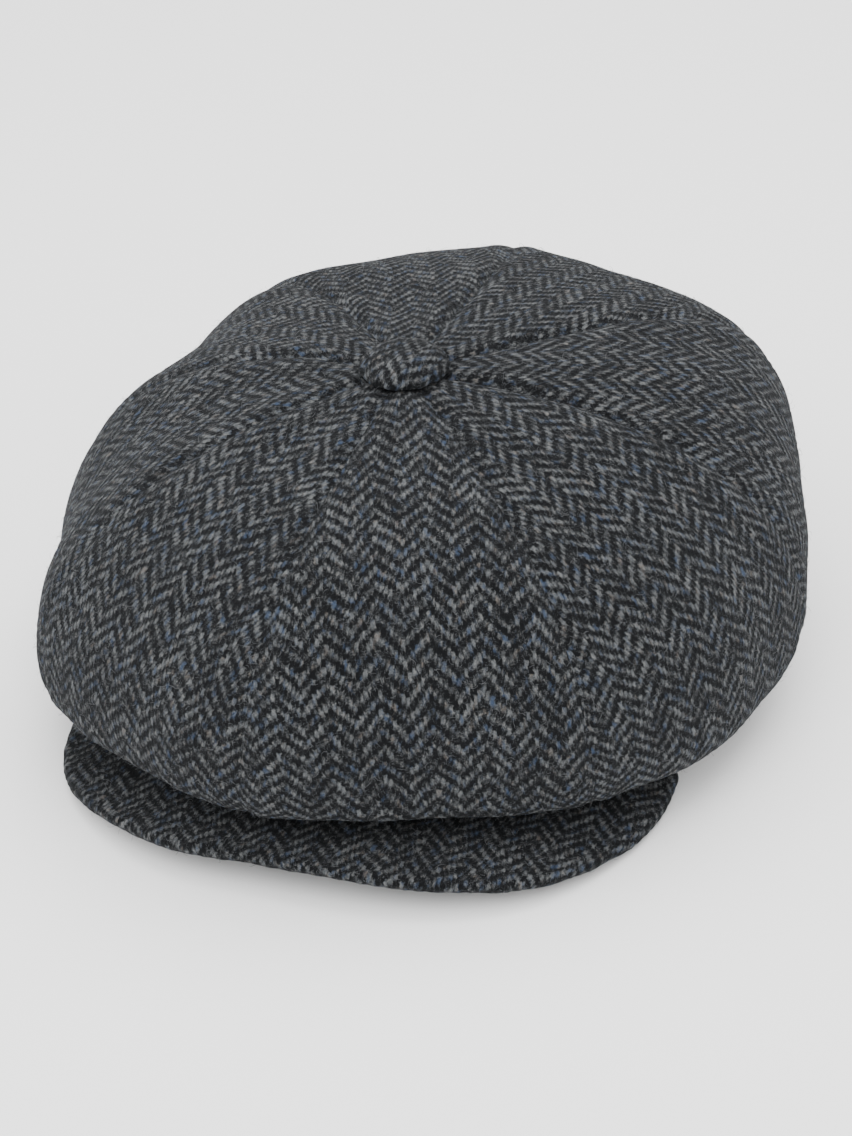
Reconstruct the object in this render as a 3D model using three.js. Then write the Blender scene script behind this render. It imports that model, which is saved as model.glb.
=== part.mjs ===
// Eight-panel newsboy cap in wool tweed. Millimetres, +Z up, front towards -Y, wearer's left +X.
// The origin is under the middle of the cap's outline, on the surface that it stands on.
import * as THREE from "three";

const TURN = 2 * Math.PI;
const rad = THREE.MathUtils.degToRad;

// ---------------------------------------------------------------- driving dimensions
// Cloth, board and clearances
const GAP = 0.3; // left between two pieces that touch
const TWEED = 1.5;
const LINING = 0.6;
const INTERLINING = 0.9;
const SWEATBAND = 1.2;
const BOARD = 1.4;
const PEAK_COVER = 1;
const LABEL = 0.4;

// Headband, measured inside the sweatband: a 56 to 57 cm head
const HEAD_HALF_WIDTH = 80;
const HEAD_HALF_LENGTH = 99;
const BAND_STACK = SWEATBAND + GAP + INTERLINING + GAP + TWEED;
const JOIN_HEIGHT = 34; // where the crown panels are sewn to the band
const BAND_TOP = JOIN_HEIGHT + 3;
const BAND_LIFT = 10.7; // the peak lifts the band's lower edge at the front
const LIFT_SPREAD = rad(125); // behind this angle the lower edge lies flat

// Crown, a soft shape with a fold, the rim, that overhangs the band all round
const PANELS = 8;
const PANEL_ANGLE = TURN / PANELS;
const CROWN_HEIGHT = 122.3;
const CROWN_HALF_WIDTH = 133.6;
const CROWN_FRONT = 141.8;
const CROWN_BACK = 155;
const CROWN_SKEW = -0.016; // the soft rim is pushed a little off square
const TOP_FORWARD = 11.1; // the button sits in front of the middle
const TOP_TILT = 0.064; // slope of the crown at the button, down to the front
const TOP_HOLE = 3; // radius left open at the button for its shank
const RIM_HEIGHT = 44.7;
const RIM_BACK_RISE = 17.8; // the rim is lower at the front and higher at the back
const RIM_SADDLE = 9.7; // and lower at the sides
const SHOULDER_REACH = 0.557; // share of the reach where the top turns down
const SHOULDER_FALL = 0.728; // share of the height where the side begins
const SHOULDER_FRONT = -0.165; // the shoulder is softer at the front
const SHOULDER_LEAN = 0.08; // and fuller on the wearer's left
const UNDER_DEPTH = 30.3; // how far the cloth sinks under the rim
const UNDER_DEPTH_FRONT = -12.4;
const UNDER_REACH = 21.5; // how flat it runs to the band
const UNDER_REACH_FRONT = -12;
const JOIN_SAG = 6; // it rises this far to its seam
const PANEL_SAG = [0.037, 0.006, 0.016, 0.049, 0.053, 0.038, 0.041, 0.007]; // between seams
const CROWN_TURN = -0.092; // radians the crown is turned on the band
const RIM_TURN = -0.01; // more at the rim
const BACK_TURN = 0.27; // and at the back of the rim
const PANEL_NAMES = [
  "front_left",
  "left_front",
  "left_back",
  "back_left",
  "back_right",
  "right_back",
  "right_front",
  "front_right",
];

// Lining, hung inside the crown
const LINING_GAP_TOP = 5.5;
const LINING_GAP_BAND = 2;
const LINING_HOLE = 1.6;

// Peak, a stiff crescent between two covers
const PEAK_TOP = 15.8; // height of its upper face at the middle
const PEAK_BOW = 0.001; // fall to the sides, per mm squared
const PEAK_HALF_WIDTH = 106.5;
const PEAK_FRONT = 144.8; // reach in front of the band's centre
const PEAK_WIDEST = 51.2; // how far in front of that centre the peak is widest
const PEAK_TAIL = 20; // length of the horns behind that
const PEAK_SQUARE = 2.55; // 2 is an ellipse, more is squarer
const PEAK_SWEEP = rad(128);
const ROOT_SWEEP = rad(61);
const PLY_GAP = 0.5; // between the board and its covers
const BOARD_INSET = 1.6;
const UNDER_COVER_INSET = 0.6;

// Covered button and how it is tied on
const BUTTON_RADIUS = 15.2;
const BUTTON_HEIGHT = 8;
const BUTTON_LIFT = 0.8; // above the crown
const BUTTON_HEM = 8; // radius that the cover is gathered to, underneath
const BUTTON_CLOTH = 1.2;
const BUTTON_METAL = 0.5;
const PLATE_HOLE = 2.9;
const EYE_RADIUS = 2;
const WIRE_RADIUS = 0.45;
const EYE_HEIGHT = 1.6; // of the eye's centre above the crown
const THREAD_RADIUS = 1.6;
const THREAD_STRETCH = 1.9;
const WASHER_RADIUS = 7;
const WASHER_THICKNESS = 0.8;
const WASHER_DEPTH = 3.6; // of its lower face under the crown's top

// Labels, both blank
const PATCH_WIDTH = 46;
const PATCH_GAP = 1.2; // the lining is slack, so the patch hangs clear of it
const PATCH_FROM = 0.17; // along the back seam, as a share of the crown's upper length
const PATCH_TO = 0.34;
const CARE_LABEL_WIDTH = 20;
const CARE_LABEL_ANGLE = rad(105);
const CARE_LABEL_LOW = 10;

// ---------------------------------------------------------------- materials
const finish = (color, roughness, metalness = 0) =>
  new THREE.MeshStandardMaterial({ color, roughness, metalness });
const tweed = () => finish(0x414346, 0.95);
const satin = () => finish(0x1d1f24, 0.45);

// ---------------------------------------------------------------- solids
const cap = new THREE.Group();

function add(name, geometry, material, parent = cap) {
  const mesh = new THREE.Mesh(geometry, material);
  mesh.name = name;
  parent.add(mesh);
  return mesh;
}

// Outward normal of a surface pointAt(u, v), where u runs anticlockwise and v runs down or out.
function normalAt(pointAt, u, v) {
  const step = 1e-3;
  const [v0, v1] = [Math.max(v - step, 0), Math.min(v + step, 1)];
  const along = pointAt(u, v1).sub(pointAt(u, v0));
  const across = pointAt(u + step, v).sub(pointAt(u - step, v));
  return along.cross(across).normalize();
}

// The same surface, moved inwards by depth(v).
function inside(pointAt, depth) {
  return (u, v) => pointAt(u, v).addScaledVector(normalAt(pointAt, u, v), -depth(v));
}

// A closed body of even thickness under the surface pointAt(u, v), with u and v from 0 to 1.
// A ring closes on itself in u.
function clothBody(pointAt, thickness, cols, rows, ring = false) {
  const inner = inside(pointAt, () => thickness);
  const across = ring ? cols : cols + 1;
  const corners = [];
  for (const surface of [pointAt, inner])
    for (let j = 0; j <= rows; j++)
      for (let i = 0; i < across; i++) corners.push(surface(i / cols, j / rows));
  const innerStart = across * (rows + 1);
  const at = (i, j, side) => side * innerStart + j * across + (i % across);
  const faces = [];
  const quad = (a, b, c, d) => faces.push(a, b, c, a, c, d);
  for (let i = 0; i < cols; i++) {
    for (let j = 0; j < rows; j++) {
      quad(at(i, j, 0), at(i, j + 1, 0), at(i + 1, j + 1, 0), at(i + 1, j, 0));
      quad(at(i, j, 1), at(i + 1, j, 1), at(i + 1, j + 1, 1), at(i, j + 1, 1));
    }
    quad(at(i, 0, 0), at(i + 1, 0, 0), at(i + 1, 0, 1), at(i, 0, 1));
    quad(at(i, rows, 0), at(i, rows, 1), at(i + 1, rows, 1), at(i + 1, rows, 0));
  }
  for (let j = 0; j < rows && !ring; j++) {
    quad(at(0, j, 0), at(0, j, 1), at(0, j + 1, 1), at(0, j + 1, 0));
    quad(at(cols, j, 0), at(cols, j + 1, 0), at(cols, j + 1, 1), at(cols, j, 1));
  }
  const geometry = new THREE.BufferGeometry().setFromPoints(corners);
  geometry.setIndex(faces);
  geometry.computeVertexNormals();
  return geometry;
}

// ---------------------------------------------------------------- shared curves
function oval(angle, halfWidth, front, back) {
  const length = Math.cos(angle) > 0 ? front : back;
  return 1 / Math.hypot(Math.sin(angle) / halfWidth, Math.cos(angle) / length);
}

const bezier = (a, b, c, d, t) =>
  (1 - t) ** 3 * a + 3 * (1 - t) ** 2 * t * b + 3 * (1 - t) * t * t * c + t ** 3 * d;

// A point at an angle from the front (-Y) towards +X.
const polar = (angle, reach, z) =>
  new THREE.Vector3(reach * Math.sin(angle), -reach * Math.cos(angle), z);

// Outline of the headband, outside or further in.
const bandReach = (angle, inset = 0) => {
  const width = HEAD_HALF_WIDTH + BAND_STACK - inset;
  const length = HEAD_HALF_LENGTH + BAND_STACK - inset;
  return oval(angle, width, length, length);
};

// Lower edge of the band: lifted at the front by the bowed peak, flat behind.
function bandLow(angle) {
  const fromFront = Math.abs(THREE.MathUtils.euclideanModulo(angle + Math.PI, TURN) - Math.PI);
  const share = Math.min(fromFront / LIFT_SPREAD, 1);
  return (BAND_LIFT * (1 + Math.cos(Math.PI * share))) / 2;
}

// ---------------------------------------------------------------- crown and lining
// The crown's outer face. t runs from 0 at the button to 1 at the rim and 2 at the band.
function crownPoint(panel, angle, t) {
  const front = Math.cos(angle);
  const side = Math.sin(angle);
  const sag = 1 - PANEL_SAG[panel] * Math.sin((PANELS / 2) * angle) ** 2;
  const skew = 1 + CROWN_SKEW * Math.sin(2 * angle);
  const reach = oval(angle, CROWN_HALF_WIDTH, CROWN_FRONT, CROWN_BACK) * skew * sag;
  const rim = RIM_HEIGHT - RIM_BACK_RISE * front + RIM_SADDLE * Math.cos(2 * angle);
  const upper = Math.min(t, 1);
  const turned =
    angle + CROWN_TURN + (RIM_TURN + (BACK_TURN * (1 - front)) / 2) * upper * upper;
  if (t <= 1) {
    const top = SHOULDER_REACH * reach;
    const fall = SHOULDER_FALL + SHOULDER_FRONT * front + SHOULDER_LEAN * side;
    const r = bezier(0, top, reach, reach, t);
    const shoulder = rim + fall * (CROWN_HEIGHT - rim);
    const z = bezier(CROWN_HEIGHT, CROWN_HEIGHT - TOP_TILT * front * top, shoulder, rim, t);
    const point = polar(turned, r, z);
    point.y -= TOP_FORWARD * (1 - t);
    return point;
  }
  const join = bandReach(turned) + GAP;
  const under = UNDER_REACH + UNDER_REACH_FRONT * front;
  const depth = UNDER_DEPTH + UNDER_DEPTH_FRONT * front;
  const r = bezier(reach, reach, join + under, join, t - 1);
  const z = bezier(rim, rim - depth, JOIN_HEIGHT - JOIN_SAG, JOIN_HEIGHT, t - 1);
  return polar(turned, r, z);
}

// Where the crown's reach first passes a radius, going out from the button.
function startAt(radius) {
  let t = 0;
  while (bezier(0, SHOULDER_REACH, 1, 1, t) * CROWN_HALF_WIDTH < radius) t += 1e-4;
  return t;
}

// One panel's outer face, with u across it from seam to seam and v from the button to the band.
function panelSurface(panel, hole) {
  const start = startAt(hole);
  return (u, v) => {
    const t = start + (2 - start) * v;
    const middle = (panel + 0.5) * PANEL_ANGLE;
    const centre = crownPoint(panel, middle, t);
    const reach = Math.hypot(centre.x, centre.y + TOP_FORWARD * Math.max(1 - t, 0));
    const half = PANEL_ANGLE / 2 - GAP / 2 / reach;
    return crownPoint(panel, middle + (2 * u - 1) * half, t);
  };
}

const liningDepth = (v) => TWEED + LINING_GAP_TOP + (LINING_GAP_BAND - LINING_GAP_TOP) * v;

for (let panel = 0; panel < PANELS; panel++) {
  const outer = panelSurface(panel, TOP_HOLE);
  add(`crown_panel_${PANEL_NAMES[panel]}`, clothBody(outer, TWEED, 6, 15), tweed());
  const lining = inside(panelSurface(panel, LINING_HOLE), liningDepth);
  add(`lining_panel_${PANEL_NAMES[panel]}`, clothBody(lining, LINING, 3, 10), satin());
}

// ---------------------------------------------------------------- headband
// A strip round the head, with v running from its top edge down to its lower edge.
function bandSurface(inset, top, above) {
  return (u, v) => {
    const angle = u * TURN;
    const low = bandLow(angle) + above;
    return polar(angle, bandReach(angle, inset), top + (low - top) * v);
  };
}

const BAND_STEPS = 48;
const interliningInset = TWEED + GAP;
const sweatbandInset = interliningInset + INTERLINING + GAP;
add("outer_band", clothBody(bandSurface(0, BAND_TOP, 0), TWEED, BAND_STEPS, 1, true), tweed());
add(
  "band_interlining",
  clothBody(bandSurface(interliningInset, BAND_TOP - 1, 2), INTERLINING, BAND_STEPS, 1, true),
  finish(0xcfc8b8, 0.9),
);
add(
  "sweatband",
  clothBody(bandSurface(sweatbandInset, BAND_TOP - 0.5, 0.8), SWEATBAND, BAND_STEPS, 1, true),
  finish(0x17181b, 0.8),
);

// ---------------------------------------------------------------- labels
function patchSurface(u, v) {
  const t = PATCH_FROM + (PATCH_TO - PATCH_FROM) * v;
  const seam = crownPoint(PANELS / 2, Math.PI, t);
  const reach = Math.hypot(seam.x, seam.y + TOP_FORWARD * (1 - t));
  return crownPoint(PANELS / 2, Math.PI + ((u - 0.5) * PATCH_WIDTH) / reach, t);
}
const patchDepth = (v) => {
  const alongLining = (PATCH_FROM + (PATCH_TO - PATCH_FROM) * v) / 2;
  return liningDepth(alongLining) + LINING + PATCH_GAP;
};
add("lining_patch", clothBody(inside(patchSurface, patchDepth), LABEL, 6, 4), finish(0xb9b4a8, 0.6));

function careLabelSurface(u, v) {
  const inset = BAND_STACK + GAP;
  const reach = bandReach(CARE_LABEL_ANGLE, inset);
  const angle = CARE_LABEL_ANGLE + ((u - 0.5) * CARE_LABEL_WIDTH) / reach;
  const top = BAND_TOP - 2;
  return polar(angle, bandReach(angle, inset), top + (CARE_LABEL_LOW - top) * v);
}
add("care_label", clothBody(careLabelSurface, LABEL, 4, 2), finish(0xe8e6e0, 0.7));

// ---------------------------------------------------------------- peak
const signedPower = (value, power) => Math.sign(value) * Math.abs(value) ** power;

// The peak's upper face or a layer under it: u from the wearer's right to left, v from root to edge.
function peakSurface(depth, inset) {
  return (u, v) => {
    const sweep = 2 * u - 1;
    const outward = sweep * PEAK_SWEEP;
    const power = 2 / PEAK_SQUARE;
    const length = Math.cos(outward) > 0 ? PEAK_FRONT - PEAK_WIDEST : PEAK_TAIL;
    const edgeX = (PEAK_HALF_WIDTH - inset) * signedPower(Math.sin(outward), power);
    const edgeY = -PEAK_WIDEST - (length - inset) * signedPower(Math.cos(outward), power);
    const root = sweep * ROOT_SWEEP;
    const foot = polar(root, bandReach(root) + GAP, 0);
    const x = foot.x + (edgeX - foot.x) * v;
    const y = foot.y + (edgeY - foot.y) * v;
    return new THREE.Vector3(x, y, PEAK_TOP - PEAK_BOW * x * x - depth);
  };
}

const boardDepth = PEAK_COVER + PLY_GAP;
const underCoverDepth = boardDepth + BOARD + PLY_GAP;
add("peak_top_cover", clothBody(peakSurface(0, 0), PEAK_COVER, 28, 4), tweed());
add(
  "peak_board",
  clothBody(peakSurface(boardDepth, BOARD_INSET), BOARD, 28, 4),
  finish(0xd8d4c8, 0.6),
);
add(
  "peak_bottom_cover",
  clothBody(peakSurface(underCoverDepth, UNDER_COVER_INSET), PEAK_COVER, 28, 4),
  tweed(),
);

// ---------------------------------------------------------------- covered button
const button = new THREE.Group();
button.position.set(0, -TOP_FORWARD, CROWN_HEIGHT);
button.rotation.x = Math.atan(TOP_TILT);
cap.add(button);

// Half of a dome's section, from its rim up to the axis.
function domeProfile(radius, height, base, steps = 7) {
  const points = [];
  for (let i = 0; i <= steps; i++) {
    const lift = (i / steps) * (Math.PI / 2);
    const r = i === steps ? 0 : radius * Math.cos(lift);
    points.push(new THREE.Vector2(r, base + height * Math.sin(lift)));
  }
  return points;
}

// Lathes turn about Y, so each turned piece is stood up along +Z.
const turned = (points, steps = 28) => new THREE.LatheGeometry(points, steps).rotateX(Math.PI / 2);

const corner = (x, y) => new THREE.Vector2(x, y);
const coverBase = BUTTON_LIFT + BUTTON_CLOTH;
const domeHeight = BUTTON_HEIGHT - BUTTON_CLOTH;
const coverInner = domeProfile(BUTTON_RADIUS - BUTTON_CLOTH, domeHeight - BUTTON_CLOTH, coverBase);
const coverOuter = domeProfile(BUTTON_RADIUS, domeHeight, coverBase);
add(
  "button_cover",
  turned([
    ...coverInner.reverse(),
    corner(BUTTON_HEM, coverBase),
    corner(BUTTON_HEM, BUTTON_LIFT),
    corner(BUTTON_RADIUS - BUTTON_CLOTH, BUTTON_LIFT),
    ...coverOuter,
  ]),
  tweed(),
  button,
);

const shellRadius = BUTTON_RADIUS - BUTTON_CLOTH - GAP;
const shellHeight = domeHeight - BUTTON_CLOTH - GAP;
const shellBase = coverBase + GAP;
const shellOuter = domeProfile(shellRadius, shellHeight - GAP, shellBase);
const shellInner = domeProfile(
  shellRadius - BUTTON_METAL,
  shellHeight - GAP - BUTTON_METAL,
  shellBase,
);
add(
  "button_shell",
  turned([...shellInner.reverse(), ...shellOuter]),
  finish(0xa9abad, 0.4, 0.9),
  button,
);

const plateRadius = shellRadius - BUTTON_METAL - GAP - 0.3;
add(
  "button_back_plate",
  turned([
    corner(PLATE_HOLE, shellBase),
    corner(plateRadius, shellBase),
    corner(plateRadius, shellBase + BUTTON_METAL),
    corner(PLATE_HOLE, shellBase + BUTTON_METAL),
    corner(PLATE_HOLE, shellBase),
  ]),
  finish(0x9a9c9e, 0.5, 0.9),
  button,
);

const eye = new THREE.TorusGeometry(EYE_RADIUS, WIRE_RADIUS, 8, 20).rotateX(Math.PI / 2);
add("button_shank", eye, finish(0x8d8f91, 0.35, 0.9), button).position.z = EYE_HEIGHT;

// The tying thread is one long link, through the eye and through the washer's two holes.
const threadHalf = THREAD_RADIUS * THREAD_STRETCH;
const threadCentre = EYE_HEIGHT - threadHalf - 0.2;
const link = new THREE.TorusGeometry(THREAD_RADIUS, WIRE_RADIUS, 8, 24)
  .rotateY(Math.PI / 2)
  .scale(1, 1, THREAD_STRETCH);
add("button_thread", link, finish(0x16171a, 0.9), button).position.z = threadCentre;

const washerShape = new THREE.Shape().absarc(0, 0, WASHER_RADIUS, 0, TURN);
for (const side of [-1, 1]) {
  const hole = new THREE.Path().absarc(0, side * (THREAD_RADIUS - 0.2), 0.95, 0, TURN);
  washerShape.holes.push(hole);
}
const washer = new THREE.ExtrudeGeometry(washerShape, {
  depth: WASHER_THICKNESS,
  bevelEnabled: false,
  curveSegments: 16,
});
add("button_washer", washer, finish(0x2b2c2f, 0.95), button).position.z = -WASHER_DEPTH;

// ---------------------------------------------------------------- place on the table
const outline = new THREE.Box3().setFromObject(cap, true);
const middle = outline.getCenter(new THREE.Vector3());
cap.position.set(-middle.x, -middle.y, -outline.min.z);

export default cap;
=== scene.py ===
"""Newsboy cap in herringbone wool tweed: cloth, stitching and studio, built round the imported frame."""

import math

import bpy
import numpy as np
from mathutils import Matrix, Vector


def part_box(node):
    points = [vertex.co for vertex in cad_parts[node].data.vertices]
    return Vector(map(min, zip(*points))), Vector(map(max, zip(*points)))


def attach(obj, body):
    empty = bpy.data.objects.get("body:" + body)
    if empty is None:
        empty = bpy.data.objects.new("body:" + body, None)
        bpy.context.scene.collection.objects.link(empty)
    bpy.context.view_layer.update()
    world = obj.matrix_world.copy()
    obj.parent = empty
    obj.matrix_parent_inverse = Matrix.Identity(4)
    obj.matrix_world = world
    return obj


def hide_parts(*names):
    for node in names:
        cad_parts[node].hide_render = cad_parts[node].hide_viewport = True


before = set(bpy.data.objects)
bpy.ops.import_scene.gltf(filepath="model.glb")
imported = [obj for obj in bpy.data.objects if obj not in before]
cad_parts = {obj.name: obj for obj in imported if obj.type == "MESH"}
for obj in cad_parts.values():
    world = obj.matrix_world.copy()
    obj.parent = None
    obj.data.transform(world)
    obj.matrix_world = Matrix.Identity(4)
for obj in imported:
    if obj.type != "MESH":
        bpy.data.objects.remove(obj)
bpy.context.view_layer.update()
bpy.ops.object.select_all(action="DESELECT")

MM = 0.001
TURN = 2 * math.pi

# ---------------------------------------------------------------- the cap's own dimensions
# Metres. The first ones are read from the frame, the others repeat the pattern's shape.
band_from, band_to = (np.array(corner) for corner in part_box("outer_band"))
CENTRE = np.array([(band_from[0] + band_to[0]) / 2, (band_from[1] + band_to[1]) / 2, band_from[2]])
BAND_HALF_WIDTH = (band_to[0] - band_from[0]) / 2
BAND_HALF_LENGTH = (band_to[1] - band_from[1]) / 2
BAND_TOP = band_to[2] - band_from[2]
JOIN_HEIGHT = BAND_TOP - 3 * MM
BAND_LIFT = 10.7 * MM
LIFT_SPREAD = math.radians(125)

PANEL_NAMES = (
    "front_left", "left_front", "left_back", "back_left",
    "back_right", "right_back", "right_front", "front_right",
)
PANELS = len(PANEL_NAMES)
PANEL_ANGLE = TURN / PANELS
CROWN_HEIGHT = 122.3 * MM
CROWN_HALF_WIDTH = 133.6 * MM
CROWN_FRONT = 141.8 * MM
CROWN_BACK = 155 * MM
CROWN_SKEW = -0.016
TOP_FORWARD = 11.1 * MM
TOP_TILT = 0.064
RIM_HEIGHT = 44.7 * MM
RIM_BACK_RISE = 17.8 * MM
RIM_SADDLE = 9.7 * MM
SHOULDER_REACH = 0.557
SHOULDER_FALL = 0.728
SHOULDER_FRONT = -0.165
SHOULDER_LEAN = 0.08
UNDER_DEPTH = 30.3 * MM
UNDER_DEPTH_FRONT = -12.4 * MM
UNDER_REACH = 21.5 * MM
UNDER_REACH_FRONT = -12 * MM
JOIN_SAG = 6 * MM
PANEL_SAG = (0.037, 0.006, 0.016, 0.049, 0.053, 0.038, 0.041, 0.007)
CROWN_TURN = -0.092
RIM_TURN = -0.01
BACK_TURN = 0.27

PEAK_TOP = 15.8 * MM
PEAK_BOW = 1.0  # fall per metre squared
PEAK_HALF_WIDTH = 105.8 * MM
PEAK_FRONT = 144.8 * MM
PEAK_WIDEST = 51.2 * MM
PEAK_TAIL = 20 * MM
PEAK_SQUARE = 2.48
PEAK_SWEEP = math.radians(128)
ROOT_SWEEP = math.radians(61)
PEAK_THICKNESS = 4.4 * MM

BUTTON_RADIUS = 15.2 * MM
BUTTON_HEIGHT = 8 * MM
BUTTON_LIFT = 0.8 * MM

# Cloth: 2/2 herringbone, thread spacings in millimetres
END_PITCH = 1.33
PICK_PITCH = 1.42
ENDS_PER_COLUMN = 6
FIRST_END = 8  # the end that lies on a panel's middle line
TWEED = 1.3 * MM
LINING = 0.6 * MM
INTERLINING = 0.9 * MM
SWEATBAND = 1.2 * MM
LABEL = 0.4 * MM
GAP = 0.3 * MM
TWEED_ROOM = 1.5 * MM  # what the frame's solids leave for the tweed
BAND_STACK = TWEED_ROOM + GAP + INTERLINING + GAP + SWEATBAND


# ---------------------------------------------------------------- shared curves
def oval(angle, half_width, front, back):
    """Radius of an oval at an angle from the front, with its own front and back lengths."""
    length = np.where(np.cos(angle) > 0, front, back)
    return 1 / np.hypot(np.sin(angle) / half_width, np.cos(angle) / length)


def bezier(a, b, c, d, t):
    return (1 - t) ** 3 * a + 3 * (1 - t) ** 2 * t * b + 3 * (1 - t) * t * t * c + t**3 * d


def polar(angle, reach, z):
    """Points at an angle from the front (-Y) towards +X, in the frame."""
    flat = np.broadcast_arrays(reach * np.sin(angle), -reach * np.cos(angle), z)
    return np.stack(flat, axis=-1) + CENTRE


def band_reach(angle, inset=0.0):
    return oval(angle, BAND_HALF_WIDTH - inset, BAND_HALF_LENGTH - inset, BAND_HALF_LENGTH - inset)


def band_low(angle):
    """Lower edge of the band, lifted at the front by the bowed peak."""
    from_front = np.abs((angle + math.pi) % TURN - math.pi)
    share = np.minimum(from_front / LIFT_SPREAD, 1)
    return BAND_LIFT * (1 + np.cos(math.pi * share)) / 2


def smooth_step(low, high, x):
    share = np.clip((x - low) / (high - low), 0, 1)
    return share * share * (3 - 2 * share)


def crown_points(panel, angle, t):
    """The crown's outer face: t runs from 0 at the button to 1 at the rim and 2 at the band."""
    front, side = np.cos(angle), np.sin(angle)
    sag = 1 - PANEL_SAG[panel % PANELS] * np.sin(PANELS / 2 * angle) ** 2
    skew = 1 + CROWN_SKEW * np.sin(2 * angle)
    reach = oval(angle, CROWN_HALF_WIDTH, CROWN_FRONT, CROWN_BACK) * skew * sag
    rim = RIM_HEIGHT - RIM_BACK_RISE * front + RIM_SADDLE * np.cos(2 * angle)
    upper, lower = np.clip(t, 0, 1), np.clip(t - 1, 0, 1)
    turned = angle + CROWN_TURN + (RIM_TURN + BACK_TURN * (1 - front) / 2) * upper**2
    top = SHOULDER_REACH * reach
    fall = SHOULDER_FALL + SHOULDER_FRONT * front + SHOULDER_LEAN * side
    shoulder = rim + fall * (CROWN_HEIGHT - rim)
    upper_r = bezier(0, top, reach, reach, upper)
    upper_z = bezier(CROWN_HEIGHT, CROWN_HEIGHT - TOP_TILT * front * top, shoulder, rim, upper)
    join = band_reach(turned) + 0.1 * MM
    under = UNDER_REACH + UNDER_REACH_FRONT * front
    depth = UNDER_DEPTH + UNDER_DEPTH_FRONT * front
    lower_r = bezier(reach, reach, join + under, join, lower)
    lower_z = bezier(rim, rim - depth, JOIN_HEIGHT - JOIN_SAG, JOIN_HEIGHT, lower)
    points = polar(turned, np.where(t <= 1, upper_r, lower_r), np.where(t <= 1, upper_z, lower_z))
    points[..., 1] -= TOP_FORWARD * (1 - upper)
    return points


# ---------------------------------------------------------------- cloth in general
def grid_normals(points):
    """Outward normals of a grid whose rows run down and whose columns run anticlockwise."""
    down = np.gradient(points, axis=0)
    across = np.gradient(points, axis=1)
    normals = np.cross(down, across)
    return normals / np.maximum(np.linalg.norm(normals, axis=-1, keepdims=True), 1e-12)


def running_length(points, axis):
    """Length along the grid from its first row or column."""
    steps = np.linalg.norm(np.diff(points, axis=axis), axis=-1)
    lengths = np.cumsum(steps, axis=axis)
    pad = [(0, 0), (0, 0)]
    pad[axis] = (1, 0)
    return np.pad(lengths, pad)


def unevenness(points, wavelength, seed):
    """Soft random lumps between -1 and 1 that depend only on where a point is."""
    chance = np.random.default_rng(seed)
    total = np.zeros(points.shape[:-1])
    waves = 7
    for _ in range(waves):
        direction = chance.normal(size=3)
        direction /= np.linalg.norm(direction)
        number = TURN / (wavelength * chance.uniform(0.75, 1.5))
        total += np.sin(points @ direction * number + chance.uniform(0, TURN))
    return total / math.sqrt(waves)


# Where loose fibres grow: the tweed pieces, and how many of each one's faces are its shown side
tweed_pieces = []
shown_faces = {}


def make_mesh(name, points, faces, threads, material):
    """A smooth-shaded object from points, faces and each point's place on the cloth in mm."""
    mesh = bpy.data.meshes.new(name)
    mesh.from_pydata(points.tolist(), [], faces)
    mesh.update()
    corners = np.empty(len(mesh.loops), dtype=np.int64)
    mesh.loops.foreach_get("vertex_index", corners)
    layer = mesh.uv_layers.new(name="cloth")
    layer.data.foreach_set("uv", threads[corners].astype(np.float32).ravel())
    mesh.polygons.foreach_set("use_smooth", np.ones(len(mesh.polygons), dtype=bool))
    mesh.materials.append(material)
    piece = bpy.data.objects.new(name, mesh)
    bpy.context.collection.objects.link(piece)
    return piece


def grid_faces(rows, cols, first=0, flip=False, ring=False):
    """Quads of a grid of points, facing out, or in when flipped."""
    stride = cols if ring else cols + 1
    across = np.arange(cols)
    down = np.arange(rows)[:, None] * stride + first
    a = down + across
    b = down + (across + 1) % stride
    quads = np.stack([a, a + stride, b + stride, b], axis=-1).reshape(-1, 4)
    return quads[:, ::-1] if flip else quads


def zip_edge(fine, coarse):
    """Triangles that join a fine edge to a coarse one that keeps every n-th point."""
    step = (len(fine) - 1) // (len(coarse) - 1)
    half = step // 2
    faces = []
    for i in range(len(coarse) - 1):
        for j in range(step):
            anchor = coarse[i] if j < half else coarse[i + 1]
            faces.append((fine[i * step + j], anchor, fine[i * step + j + 1]))
        faces.append((fine[i * step + half], coarse[i], coarse[i + 1]))
    return faces


def cloth_piece(name, outer, threads, thickness, material, every=8):
    """A closed sheet of cloth: a fine outer face, and an inner face with every n-th point."""
    rows, cols = outer.shape[0] - 1, outer.shape[1] - 1
    base = outer[::every, ::every]
    inner = base - grid_normals(base) * thickness
    count = outer.shape[0] * outer.shape[1]
    inner_rows, inner_cols = inner.shape[0] - 1, inner.shape[1] - 1
    outside = np.arange(count).reshape(rows + 1, cols + 1)
    within = count + np.arange(inner.shape[0] * inner.shape[1]).reshape(inner_rows + 1, inner_cols + 1)
    faces = grid_faces(rows, cols).tolist()
    shown_faces[name] = len(faces)
    faces += grid_faces(inner_rows, inner_cols, first=count, flip=True).tolist()
    faces += zip_edge(outside[0], within[0])
    faces += zip_edge(outside[:, -1], within[:, -1])
    faces += zip_edge(outside[-1][::-1], within[-1][::-1])
    faces += zip_edge(outside[:, 0][::-1], within[:, 0][::-1])
    points = np.concatenate([outer.reshape(-1, 3), inner.reshape(-1, 3)])
    places = np.concatenate([threads.reshape(-1, 2), threads[::every, ::every].reshape(-1, 2)])
    return make_mesh(name, points, faces, places, material)


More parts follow.
